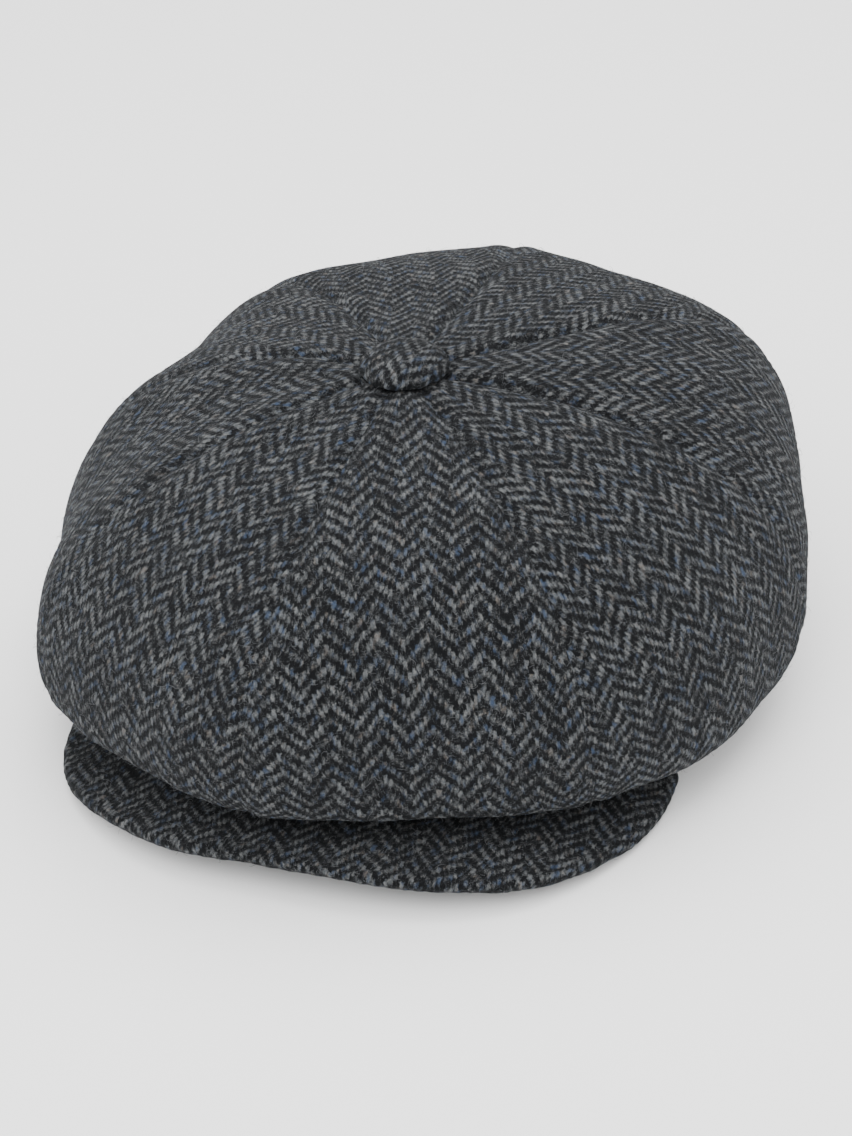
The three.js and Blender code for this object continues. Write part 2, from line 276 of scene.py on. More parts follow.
def cloth_tube(name, points, threads, material):
    """A closed skin whose last row and column repeat the first ones, or whose end rows are poles."""
    rows, cols = points.shape[0] - 1, points.shape[1] - 1
    faces = grid_faces(rows, cols).tolist()
    piece = make_mesh(name, points.reshape(-1, 3), faces, threads.reshape(-1, 2), material)
    select_only(piece)
    bpy.ops.object.mode_set(mode="EDIT")
    bpy.ops.mesh.select_all(action="SELECT")
    bpy.ops.mesh.remove_doubles(threshold=1e-6)
    bpy.ops.object.mode_set(mode="OBJECT")
    return piece


def declare(piece, slot, *nodes):
    """The piece rides on the cap and stands in for the frame's nodes; slot is not used."""
    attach(piece, "root")
    if nodes:
        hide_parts(*nodes)


def select_only(piece):
    bpy.ops.object.select_all(action="DESELECT")
    piece.select_set(True)
    bpy.context.view_layer.objects.active = piece


def herringbone_ribs(threads):
    """Height of the diagonal ribs, from -1 to 1, at places on the cloth in mm."""
    end = threads[..., 0] / END_PITCH + FIRST_END
    pick = threads[..., 1] / PICK_PITCH
    column = np.floor(end / ENDS_PER_COLUMN)
    direction = 1 - 2 * (column % 2)
    return np.sin(TURN / 4 * (pick - direction * (end - ENDS_PER_COLUMN * column) + 2 * column))


# ---------------------------------------------------------------- materials
def linear(hex_colour):
    """An sRGB hex colour as linear red, green, blue and alpha."""
    parts = [int(hex_colour[i:i + 2], 16) / 255 for i in (1, 3, 5)]
    return [p / 12.92 if p <= 0.04045 else ((p + 0.055) / 1.055) ** 2.4 for p in parts] + [1.0]


def add(tree, kind, feeds=(), out=0, **settings):
    """Adds a node, sets it up and returns one of its outputs. feeds gives its inputs in order, or
    by name or number; each is a value, a hex colour or another node's output, and None leaves a
    socket as it is."""
    made = tree.nodes.new("ShaderNode" + kind)
    for key, value in settings.items():
        setattr(made, key, value)
    pairs = feeds.items() if isinstance(feeds, dict) else enumerate(feeds)
    for key, value in pairs:
        if isinstance(value, bpy.types.NodeSocket):
            tree.links.new(value, made.inputs[key])
        elif value is not None:
            made.inputs[key].default_value = linear(value) if isinstance(value, str) else value
    return None if out is None else made.outputs[out]


def new_material(name):
    """An empty node material and its tree."""
    material = bpy.data.materials.new(name)
    material.use_nodes = True
    material.node_tree.nodes.clear()
    return material, material.node_tree


def finish_with(tree, colour, normal, **surface):
    """Ends a material in a Principled surface with its own fixed numbers."""
    feeds = {"Base Color": colour, "Normal": normal}
    feeds.update({key.replace("_", " "): value for key, value in surface.items()})
    shader = add(tree, "BsdfPrincipled", feeds)
    add(tree, "OutputMaterial", [shader], out=None)


# A Mix node's settings for colours: its share goes in at 0, its two colours at 6 and 7
COLOUR_MIX = {"out": 2, "data_type": "RGBA"}


def wool_tweed():
    """Herringbone wool tweed, brushed: pale grey warp over charcoal weft, flecked blue and brown.
    Each float is a soft lozenge, and loose fibre blurs its edges and catches light at an angle."""
    material, tree = new_material("brushed herringbone wool tweed")
    place = add(tree, "UVMap", uv_map="cloth")  # in mm, so noise scales are lumps per mm of cloth

    # The yarns wander a little, as soft woollen yarns do.
    drift = add(tree, "TexNoise", {"Vector": place, "Scale": 0.11, "Detail": 1.0}, out="Color")
    jitter = add(tree, "TexNoise", {"Vector": place, "Scale": 0.8, "Detail": 3.0}, out="Color")
    drift = add(tree, "VectorMath", [drift, (0.5, 0.5, 0.5)], operation="SUBTRACT")
    jitter = add(tree, "VectorMath", [jitter, (0.5, 0.5, 0.5)], operation="SUBTRACT")
    drift = add(tree, "VectorMath", {0: drift, "Scale": 3.0}, operation="SCALE")
    jitter = add(tree, "VectorMath", {0: jitter, "Scale": 1.4}, operation="SCALE")
    moved = add(tree, "VectorMath", [place, drift], operation="ADD")
    moved = add(tree, "VectorMath", [moved, jitter], operation="ADD")
    u = add(tree, "SeparateXYZ", [moved], out="X")
    v = add(tree, "SeparateXYZ", [moved], out="Y")
    end = add(tree, "Math", [u, END_PITCH], operation="DIVIDE")
    end = add(tree, "Math", [end, FIRST_END], operation="ADD")
    pick = add(tree, "Math", [v, PICK_PITCH], operation="DIVIDE")

    # Which way the twill runs: it turns round every few ends.
    column = add(tree, "Math", [end, ENDS_PER_COLUMN], operation="DIVIDE")
    column = add(tree, "Math", [column], operation="FLOOR")
    parity = add(tree, "Math", [column, 2.0], operation="FLOORED_MODULO")
    direction = add(tree, "Math", [parity, -2.0, 1.0], operation="MULTIPLY_ADD")
    end_number = add(tree, "Math", [end], operation="FLOOR")
    first_end = add(tree, "Math", [column, ENDS_PER_COLUMN], operation="MULTIPLY")
    local_end = add(tree, "Math", [end_number, first_end], operation="SUBTRACT")
    slant = add(tree, "Math", [local_end, direction], operation="MULTIPLY")
    phase = add(tree, "Math", [pick, slant], operation="SUBTRACT")
    cut = add(tree, "Math", [column, 2.0], operation="MULTIPLY")
    phase = add(tree, "Math", [phase, cut], operation="ADD")
    quarter = add(tree, "Math", [phase, 0.25], operation="MULTIPLY")
    float_number = add(tree, "Math", [quarter], operation="FLOOR")

    # A float's height: long along the end, round across it.
    wave = add(tree, "Math", [quarter, TURN], operation="MULTIPLY")
    along = add(tree, "Math", [wave], operation="SINE")
    across = add(tree, "Math", [end], operation="FRACT")
    across = add(tree, "Math", [across, math.pi], operation="MULTIPLY")
    across = add(tree, "Math", [across], operation="SINE")
    height = add(tree, "Math", [across, 0.75, 0.25], operation="MULTIPLY_ADD")
    height = add(tree, "Math", [along, height], operation="MULTIPLY")

    # Each end, and each float of it, has its own shade and stands a little higher or lower.
    end_key = add(tree, "CombineXYZ", [end_number, 0.0, 0.0])
    end_shade = add(tree, "TexWhiteNoise", [end_key], noise_dimensions="3D")
    float_key = add(tree, "CombineXYZ", [end_number, float_number, 3.0])
    float_shade = add(tree, "TexWhiteNoise", [float_key], noise_dimensions="3D")
    stand = add(tree, "Math", [float_shade, 0.5], operation="SUBTRACT")
    height = add(tree, "Math", [stand, 0.75, height], operation="MULTIPLY_ADD")

    # Fibre: fine streaks along the warp and a frizz in all directions.
    streak_place = add(tree, "VectorMath", [moved, (1.0, 0.35, 1.0)], operation="MULTIPLY")
    streaks = add(tree, "TexNoise", {"Vector": streak_place, "Scale": 2.2, "Detail": 5.0,
                                     "Roughness": 0.65})
    frizz = add(tree, "TexNoise", {"Vector": place, "Scale": 1.5, "Detail": 4.0,
                                   "Roughness": 0.72, "Distortion": 1.0})
    rough = add(tree, "Math", [streaks, 0.5], operation="SUBTRACT")
    frizzy = add(tree, "Math", [frizz, 0.5], operation="SUBTRACT")
    lifted = add(tree, "Math", [rough, 2.1, height], operation="MULTIPLY_ADD")
    lifted = add(tree, "Math", [frizzy, 2.4, lifted], operation="MULTIPLY_ADD")
    pale = add(tree, "MapRange", [lifted, -0.42, 1.4, 0.0, 1.0], interpolation_type="SMOOTHSTEP")

    shade = add(tree, "Math", [end_shade, float_shade], operation="ADD")
    shade = add(tree, "Math", [shade, 0.5], operation="MULTIPLY")
    warp = add(tree, "Mix", {0: shade, 6: "#232528", 7: "#575a5c"}, **COLOUR_MIX)
    bright = add(tree, "MapRange", [streaks, 0.48, 0.75, 0.0, 0.75])
    warp = add(tree, "Mix", {0: bright, 6: warp, 7: "#7e7d7a"}, **COLOUR_MIX)

    # Flecks: short lengths of blue and brown fibre spun into the yarn.
    fleck_place = add(tree, "VectorMath", [moved, (0.55, 0.2, 1.0)], operation="MULTIPLY")
    blue = add(tree, "TexNoise", {"Vector": fleck_place, "Scale": 0.75, "Detail": 1.5})
    blue = add(tree, "MapRange", [blue, 0.52, 0.7, 0.0, 0.84])
    brown_place = add(tree, "VectorMath", [fleck_place, (31.0, 22.0, 0.0)], operation="ADD")
    brown = add(tree, "TexNoise", {"Vector": brown_place, "Scale": 0.9, "Detail": 1.5})
    brown = add(tree, "MapRange", [brown, 0.6, 0.72, 0.0, 0.5])
    warp = add(tree, "Mix", {0: blue, 6: warp, 7: "#26364d"}, **COLOUR_MIX)
    warp = add(tree, "Mix", {0: brown, 6: warp, 7: "#564b40"}, **COLOUR_MIX)
    weft = add(tree, "Mix", {0: frizz, 6: "#010101", 7: "#0f1113"}, **COLOUR_MIX)
    colour = add(tree, "Mix", {0: pale, 6: weft, 7: warp}, **COLOUR_MIX)

    # Single curly fibres brushed up out of the yarns: thin lines where a noise crosses its middle.
    curl = add(tree, "TexNoise", {"Vector": place, "Scale": 0.55, "Detail": 2.5, "Roughness": 0.6,
                                  "Distortion": 1.4})
    curl = add(tree, "Math", [curl, 0.5], operation="SUBTRACT")
    curl = add(tree, "Math", [curl], operation="ABSOLUTE")
    hair = add(tree, "MapRange", [curl, 0.006, 0.022, 1.0, 0.0])
    broken = add(tree, "TexNoise", {"Vector": place, "Scale": 0.45, "Detail": 1.0})
    broken = add(tree, "MapRange", [broken, 0.45, 0.62, 0.0, 0.45])
    hair = add(tree, "Math", [hair, broken], operation="MULTIPLY")
    colour = add(tree, "Mix", {0: hair, 6: colour, 7: "#6a6c6f"}, **COLOUR_MIX)
    lifted = add(tree, "Math", [hair, 0.4, lifted], operation="MULTIPLY_ADD")

    # Broad, faint unevenness of dye and pressing.
    cloud = add(tree, "TexNoise", {"Vector": place, "Scale": 0.02, "Detail": 2.0})
    cloud = add(tree, "MapRange", [cloud, 0.3, 0.7, 0.86, 1.14])
    colour = add(tree, "VectorMath", {0: colour, "Scale": cloud}, operation="SCALE")

    bump = add(tree, "Bump", {"Strength": 0.8, "Distance": 0.3 * MM, "Height": lifted})
    finish_with(tree, colour, bump, Roughness=0.95, Sheen_Weight=0.05, Sheen_Roughness=0.6,
                Sheen_Tint="#b9bcc2", Specular_IOR_Level=0.08)
    return material


def woven(name, dark, light, across, along, slant, depth, roughness=0.8, sheen=0.0):
    """A plain or twilled cloth: threads across and along at their spacings in mm, seen on the cloth
    map. slant shears the across threads into a twill."""
    material, tree = new_material(name)
    place = add(tree, "UVMap", uv_map="cloth")
    u = add(tree, "SeparateXYZ", [place], out="X")
    v = add(tree, "SeparateXYZ", [place], out="Y")
    leant = add(tree, "Math", [v, slant, u], operation="MULTIPLY_ADD")
    ribs = add(tree, "Math", [leant, TURN / across], operation="MULTIPLY")
    ribs = add(tree, "Math", [ribs], operation="SINE")
    rows = add(tree, "Math", [v, TURN / along], operation="MULTIPLY")
    rows = add(tree, "Math", [rows], operation="SINE")
    relief = add(tree, "Math", [rows, 0.5, ribs], operation="MULTIPLY_ADD")
    slub = add(tree, "TexNoise", {"Vector": place, "Scale": 0.9, "Detail": 3.0})
    slub = add(tree, "Math", [slub, 1.6, relief], operation="MULTIPLY_ADD")
    share = add(tree, "MapRange", [slub, -1.0, 2.6, 0.0, 1.0])
    colour = add(tree, "Mix", {0: share, 6: dark, 7: light}, **COLOUR_MIX)
    bump = add(tree, "Bump", {"Strength": 0.6, "Distance": depth * MM, "Height": slub})
    finish_with(tree, colour, bump, Roughness=roughness, Sheen_Weight=sheen)
    return material


def solid(name, colour, roughness, metallic=0.0, grain=40.0, depth=0.02):
    """A hard or matted material with a fine grain, placed by the object's own coordinates."""
    material, tree = new_material(name)
    place = add(tree, "TexCoord", out="Object")
    noise = add(tree, "TexNoise", {"Vector": place, "Scale": grain / (10 * MM), "Detail": 3.0})
    tone = add(tree, "MapRange", [noise, 0.3, 0.7, 0.8, 1.1])
    shade = add(tree, "VectorMath", {0: linear(colour)[:3], "Scale": tone}, operation="SCALE")
    bump = add(tree, "Bump", {"Strength": 0.5, "Distance": depth * MM, "Height": noise})
    finish_with(tree, shade, bump, Roughness=roughness, Metallic=metallic)
    return material


tweed = wool_tweed()
lining_satin = woven("charcoal lining satin", "#131519", "#2a2d33", 0.35, 0.5, 0.3, 0.02, 0.5)
canvas = woven("cotton interlining canvas", "#a9a08c", "#d8d0be", 0.9, 0.9, 0.0, 0.08)
band_twill = woven("black cotton sweatband twill", "#08090a", "#1d1e21", 0.9, 4.0, 0.8, 0.09, 0.85, 0.1)
label_satin = woven("pale woven label satin", "#a8a395", "#cfcabd", 0.4, 0.5, 0.2, 0.02, 0.5)
care_satin = woven("white printed-label satin, left blank", "#cfcdc6", "#f0eee8", 0.4, 0.5, 0.2, 0.02, 0.5)
board_plastic = solid("moulded peak board, grey polythene", "#5d5f62", 0.55)
tinplate = solid("rolled tinplate", "#a9abad", 0.38, metallic=1.0, grain=90.0)
thread_cotton = solid("waxed black button thread", "#16171a", 0.7, grain=120.0, depth=0.06)
thread_grey = solid("grey polyester sewing thread", "#56595d", 0.6, grain=120.0, depth=0.05)
wool_fibre = solid("single wool fibres, undyed grey", "#5a5c5f", 0.6, grain=20.0, depth=0.001)
felt = solid("grey wool felt", "#4a4c50", 0.95, grain=60.0, depth=0.15)


# ---------------------------------------------------------------- crown
CROWN_COLS = 144
CROWN_ROWS = 288
CROWN_START = 0.02
CROWDING = 0.8  # columns stand closer together by the seams
SEAM_DEPTH = 1.3 * MM
SEAM_WIDTH = 2.2 * MM
SEAM_ROLL = 0.45 * MM
PANEL_PUFF = (1.2, 1.6, 2.2, 1.2, 0.6, 0.6, -0.4, 0.6)  # mm, between the seams
SEAM_FADE = 0.65  # the seams lie flatter towards the rim
FULL_SIDE = math.radians(118)  # the crown is fullest here, on the wearer's left
FULLNESS = 2.7 * MM
FLAT_SIDE = math.radians(178)  # and pressed flat here, at the back
FLATNESS = 3.0 * MM
PUCKERS = 26  # small folds round the button
PUCKER_DEPTH = 0.3 * MM


def even_rows(panel, rows, start):
    """Values of t, evenly spaced along the middle of a panel."""
    fine = np.linspace(start, 2, 1500)
    middle = crown_points(panel, np.full_like(fine, (panel + 0.5) * PANEL_ANGLE), fine)
    length = running_length(middle[:, None], axis=0)[:, 0]
    return np.interp(np.linspace(0, length[-1], rows + 1), length, fine)


def flat_places(points):
    """Where each point of a panel was on the flat cloth, in mm: across the grain and along it."""
    middle = points.shape[1] // 2
    across = running_length(points, axis=1)
    across = across - across[:, middle:middle + 1]
    along = running_length(points[:, middle:middle + 1], axis=0)
    half = (across[:, -1] - across[:, 0])[:, None] / 2
    bend = np.gradient(half[:, 0], along[:, 0])[:, None] / np.maximum(half, 1 * MM)
    return np.stack([across, along - bend * across**2 / 2], axis=-1) / MM


def crown_panel(panel):
    """One tweed panel, from the button over the rim to the band, with its seam edges turned in."""
    t = even_rows(panel, CROWN_ROWS, CROWN_START)[:, None]
    u = np.linspace(-1, 1, CROWN_COLS + 1) * math.pi / 2 * CROWDING
    u = np.sin(u) / math.sin(math.pi / 2 * CROWDING)
    angle = (panel + 0.5 + u[None] / 2) * PANEL_ANGLE
    points = crown_points(panel, angle, t)
    threads = flat_places(points)
    half = np.abs(threads[:, -1:, 0]) * MM
    from_seam = (1 - np.abs(u[None])) * half
    deep = SEAM_DEPTH * (1 - SEAM_FADE * smooth_step(0.1, 0.6, t))
    lift = -deep * np.exp(-(from_seam / SEAM_WIDTH) ** 2)
    lift = lift + SEAM_ROLL * np.exp(-((from_seam - 6 * MM) / (4 * MM)) ** 2)
    body = smooth_step(0.02, 0.25, t) * smooth_step(1.1, 0.6, t)
    lift = lift + PANEL_PUFF[panel] * MM * (1 - u[None] ** 2) * body
    full = np.maximum(np.cos(angle - FULL_SIDE), 0) ** 6 * FULLNESS
    flat = np.maximum(np.cos(angle - FLAT_SIDE), 0) ** 10 * FLATNESS
    lift = lift + (full * smooth_step(1.3, 0.8, t) - flat * body) * smooth_step(0.1, 0.5, t)
    from_button = np.hypot(points[..., 0] - CENTRE[0], points[..., 1] - CENTRE[1] + TOP_FORWARD)
    lift = lift + PUCKER_DEPTH * np.sin(PUCKERS * angle + 1.3) * smooth_step(30 * MM, 12 * MM, from_button)
    lift = lift + 0.9 * MM * unevenness(points, 90 * MM, 3) + 0.35 * MM * unevenness(points, 32 * MM, 5)
    lift = lift + 0.1 * MM * herringbone_ribs(threads) * smooth_step(0, 3 * MM, from_seam)
    return points + grid_normals(points) * lift[..., None], threads


def flat_cut(threads):
    """Width, length and area in square metres of the flat cloth that a grid was cut from."""
    x, y = threads[..., 0] * MM, threads[..., 1] * MM
    a = np.stack([x[1:, 1:] - x[:-1, :-1], y[1:, 1:] - y[:-1, :-1]])
    b = np.stack([x[:-1, 1:] - x[1:, :-1], y[:-1, 1:] - y[1:, :-1]])
    area = np.abs(a[0] * b[1] - a[1] * b[0]).sum() / 2
    return (float(np.ptp(x)), float(np.ptp(y))), float(area)


def crown_cover(panel):
    points, threads = crown_panel(panel)
    name = PANEL_NAMES[panel]
    piece = cloth_piece(f"tweed_panel_{name}", points, threads, TWEED, tweed)
    declare(piece, "wool_tweed", f"crown_panel_{name}")
    tweed_pieces.append(piece)


for number in range(PANELS):
    crown_cover(number)


# ---------------------------------------------------------------- lining
LINING_COLS = 64
LINING_ROWS = 160
LINING_GAP_TOP = 5.5 * MM
LINING_GAP_BAND = 2 * MM
LINING_START = 0.012


def lining_depth(t):
    """How far the lining hangs under the crown's outer face."""
    share = np.clip((t - LINING_START) / (2 - LINING_START), 0, 1)
    return TWEED_ROOM + LINING_GAP_TOP + (LINING_GAP_BAND - LINING_GAP_TOP) * share


def lining_panel(panel):
    """One satin panel, slack enough to fall in soft folds. Its shown face looks into the cap."""
    t = even_rows(panel, LINING_ROWS, LINING_START)[:, None]
    across = np.linspace(-1, 1, LINING_COLS + 1)[None]
    angle = (panel + 0.5 + across / 2 * 0.998) * PANEL_ANGLE
    outer = crown_points(panel, angle, t)
    threads = flat_places(outer)
    middle = 1 - across**2
    drawn = np.stack([threads[..., 0], 0.28 * threads[..., 1], 0 * threads[..., 0]], -1) * MM
    slack = 0.5 * MM * unevenness(drawn, 15 * MM, 11 + panel)
    slack = slack + 0.3 * MM * unevenness(drawn, 7 * MM, 23 + panel)
    pleats = 1.1 * MM * np.sin(7 * math.pi * across) * smooth_step(1.2, 1.8, t)
    slack = (slack * smooth_step(0.1, 0.5, t) + pleats) * smooth_step(0, 0.3, middle)
    loose = smooth_step(1.9, 1.6, t)  # by the band it is drawn tight, clear of the tweed
    drop = lining_depth(t) + (slack - 0.5 * MM * middle) * loose
    points = outer - grid_normals(outer) * (drop + LINING)[..., None]
    name = PANEL_NAMES[panel]
    piece = cloth_piece(f"satin_lining_{name}", points[:, ::-1], threads[:, ::-1], LINING, lining_satin, 4)
    declare(piece, "lining_satin", f"lining_panel_{name}")


for number in range(PANELS):
    lining_panel(number)


# ---------------------------------------------------------------- headband
BAND_COLS = 384
FACE_ROWS = 25  # down each face of a strip
EDGE_ROWS = 5  # round each of its edges
BAND_SEAM = 0.8 * MM  # depth of the seam at the back
HEM = 1.6 * MM


def band_strip(name, inset, thickness, top, above, material, hem=False):
    """A strip of cloth round the head, closed at the back, with soft rounded edges."""
    arc = np.linspace(0, math.pi, EDGE_ROWS + 2)[1:-1]
    face = np.linspace(0, 1, FACE_ROWS)
    half = thickness / 2
    depth = np.concatenate([np.zeros(FACE_ROWS), half - half * np.cos(arc), np.full(FACE_ROWS, thickness),
                            half + half * np.cos(arc), [0.0]])
    share = np.concatenate([face, np.ones(EDGE_ROWS), face[::-1], np.zeros(EDGE_ROWS), [0.0]])
    round_off = np.concatenate([np.zeros(FACE_ROWS), np.sin(arc), np.zeros(FACE_ROWS), -np.sin(arc), [0.0]])
    angle = np.linspace(math.pi, math.pi + TURN, BAND_COLS + 1)[None]
    low = band_low(angle) + above + half
    high = low + top if hem else top - half
    z = high + (low - high) * share[:, None] - round_off[:, None] * half
    bare = polar(angle, band_reach(angle, inset), high)
    length = running_length(bare, axis=1)
    from_seam = np.minimum(length, length[:, -1:] - length)
    soft = 0.25 * MM * unevenness(bare, 40 * MM, 17) - BAND_SEAM * np.exp(-(from_seam / (1.4 * MM)) ** 2)
    reach = band_reach(angle, inset + half) + (half + np.minimum(soft, 0.05 * MM) - depth[:, None])
    points = polar(angle, reach, z)
    run = running_length(points, axis=0)
    threads = np.stack([np.broadcast_to(length, run.shape), run], axis=-1) / MM
    piece = cloth_tube(name, points, threads, material)
    wide = np.broadcast_to(high - low + 2 * half, length.shape)[0]
    return piece, (float(length[0, -1]), float(wide.max())), float(np.trapz(wide, length[0]))


def headband():
    inner = TWEED_ROOM + GAP
    strips = (
        ("tweed_band", 0.0, TWEED, BAND_TOP, 0.0, tweed, "wool_tweed", "outer_band"),
        ("canvas_interlining", inner, INTERLINING, BAND_TOP - 1 * MM, 2 * MM, canvas,
         "interlining_canvas", "band_interlining"),
        ("twill_sweatband", inner + INTERLINING + GAP, SWEATBAND, BAND_TOP - 0.5 * MM, 0.8 * MM,
         band_twill, "sweatband_twill", "sweatband"),
    )
    # The band's lower edge is turned in and sewn to the sweatband.
    hem = band_strip("tweed_band_hem", TWEED + 0.05 * MM, HEM, 1.2 * MM, 0.25 * MM, tweed, hem=True)[0]
    declare(hem, "wool_tweed")
    for name, inset, thickness, top, above, material, slot, node in strips:
        piece, size, area = band_strip(name, inset, thickness, top, above, material)
        declare(piece, slot, node)


headband()


# ---------------------------------------------------------------- stitches
def stitch_row(name, path, outward, length, radius, material):
    """A row of sewn stitches, each a thread that dips into the cloth at both ends."""
    rings, sides = 7, 6
    gap = 0.25
    run = running_length(path[:, None], axis=0)[:, 0]
    count = int(run[-1] / length)
    starts = np.arange(count) * run[-1] / count
    step = run[-1] / count * (1 - gap)
    bulge = np.linspace(0, math.pi, rings)
    points, faces, places = [], [], []
    for number, start in enumerate(starts):
        along = start + step * (0.5 - 0.5 * np.cos(bulge))
        spine = np.stack([np.interp(along, run, path[:, k]) for k in range(3)], axis=-1)
        out = np.stack([np.interp(along, run, outward[:, k]) for k in range(3)], axis=-1)
        ahead = spine[-1] - spine[0]
        ahead /= np.linalg.norm(ahead)
        across = np.cross(ahead, out)
        spine = spine + out * (radius * (np.sin(bulge) - 0.35))[:, None]
        turn = np.arange(sides) * TURN / sides
        thick = radius * np.maximum(np.sin(bulge), 0.15)[:, None, None]
        ring = spine[:, None] + thick * (across[:, None] * np.cos(turn)[None, :, None]
                                         + out[:, None] * np.sin(turn)[None, :, None])
        base = number * rings * sides
        points.append(ring.reshape(-1, 3))
        grid = np.arange(rings * sides).reshape(rings, sides) + base
        quads = np.stack([grid[:-1], np.roll(grid, -1, 1)[:-1], np.roll(grid, -1, 1)[1:], grid[1:]], -1)
        faces += quads.reshape(-1, 4).tolist() + [grid[0][::-1].tolist(), grid[-1].tolist()]
    points = np.concatenate(points)
    return make_mesh(name, points, faces, np.zeros((len(points), 2)), material)


def sweatband_stitches():
    """Two rows sewn along the sweatband, near its top and near its lower edge."""
    angle = np.linspace(-math.pi, math.pi, 721)
    reach = band_reach(angle, BAND_STACK)
    inward = polar(angle, -1.0, 0.0) - CENTRE
    for name, z in (("upper", BAND_TOP - 3.5 * MM), ("lower", band_low(angle) + 3.6 * MM)):
        path = polar(angle, reach, z)
        row = stitch_row(f"sweatband_stitches_{name}", path, inward, 3.2 * MM, 0.28 * MM, thread_grey)
        declare(row, "sewing_thread")


sweatband_stitches()


# ---------------------------------------------------------------- labels
PATCH_WIDTH = 46 * MM
PATCH_FROM, PATCH_TO = 0.17, 0.34
PATCH_GAP = 1.2 * MM
CARE_WIDTH = 20 * MM
CARE_ANGLE = math.radians(105)
CARE_LOW = 10 * MM


def lining_patch():
    """A blank woven patch sewn over the lining's back seam."""
    t = np.linspace(PATCH_FROM, PATCH_TO, 33)[:, None]
    across = np.linspace(0.5, -0.5, 41)[None]
    seam = crown_points(PANELS // 2, np.full_like(t, math.pi), t) - CENTRE
    reach = np.hypot(seam[..., 0], seam[..., 1] + TOP_FORWARD * (1 - t))
    outer = crown_points(PANELS // 2, math.pi + across * PATCH_WIDTH / reach, t)
    inward = grid_normals(outer)
    points = outer + inward * (lining_depth(t) + LINING + PATCH_GAP + LABEL)[..., None]
    x, y = running_length(points, 1), running_length(points, 0)
    piece = cloth_piece("blank_lining_patch", points, np.stack([x, y], -1) / MM, LABEL, label_satin, 4)
    declare(piece, "label_satin", "lining_patch")


def care_label():
    """A blank tape sewn into the top of the sweatband, hanging down inside it."""
    across = np.linspace(0.5, -0.5, 25)[None]
    v = np.linspace(0, 1, 33)[:, None]
    reach = band_reach(CARE_ANGLE, BAND_STACK + GAP)
    angle = CARE_ANGLE + across * CARE_WIDTH / reach
    top = BAND_TOP - 2 * MM
    curl = (0.9 * v**3 + 0.25 * np.sin(5 * v) * v) * MM
    points = polar(angle, band_reach(angle, BAND_STACK + GAP) - LABEL - curl, top + (CARE_LOW - top) * v)
    x, y = running_length(points, 1), running_length(points, 0)
    piece = cloth_piece("blank_care_label", points, np.stack([x, y], -1) / MM, LABEL, care_satin, 8)
    declare(piece, "label_satin", "care_label")


lining_patch()
care_label()


# ---------------------------------------------------------------- peak
PEAK_COLS = 288
PEAK_ROWS = 64
PEAK_COVER = 1.0 * MM
EDGE_ROUND = 2.2 * MM
PEAK_TWIST = math.radians(-0.8)  # the soft peak has been turned a little on its board
TABLE = 0.1 * MM  # nothing sinks below this
BOARD = 1.4 * MM
BOARD_INSET = 2.4 * MM
BOARD_DEPTH = 1.5 * MM
BOARD_SHORT = 6  # columns that the board stops short of each horn


def signed_power(value, power):
    return np.sign(value) * np.abs(value) ** power


def peak_outline(inset):
    """Root and edge of the peak, its edge's outward direction, from the wearer's right to left."""
    sweep = np.linspace(-1, 1, PEAK_COLS + 1)
    outward = sweep * PEAK_SWEEP
    power = 2 / PEAK_SQUARE
    length = np.where(np.cos(outward) > 0, PEAK_FRONT - PEAK_WIDEST, PEAK_TAIL)
    edge = np.stack([PEAK_HALF_WIDTH * signed_power(np.sin(outward), power),
                     -PEAK_WIDEST - length * signed_power(np.cos(outward), power)], axis=-1)
    root = sweep * ROOT_SWEEP
    foot = (polar(root, band_reach(root) + 0.2 * MM, 0.0) - CENTRE)[:, :2]
    twist = np.array(Matrix.Rotation(PEAK_TWIST, 2))
    edge = edge @ twist.T
    # Evenly spaced along the edge, so that the corners are as fine as the front
    run = running_length(edge[:, None], axis=0)[:, 0]
    even = np.linspace(0, run[-1], PEAK_COLS + 1)
    edge = np.stack([np.interp(even, run, edge[:, k]) for k in range(2)], axis=-1)
    foot = np.stack([np.interp(even, run, foot[:, k]) for k in range(2)], axis=-1)
    along = np.gradient(edge, axis=0)
    along /= np.linalg.norm(along, axis=-1, keepdims=True)
    out = np.stack([along[:, 1], -along[:, 0]], axis=-1)
    return foot, edge - out * inset, out


def peak_height(x):
    return PEAK_TOP - PEAK_BOW * x * x


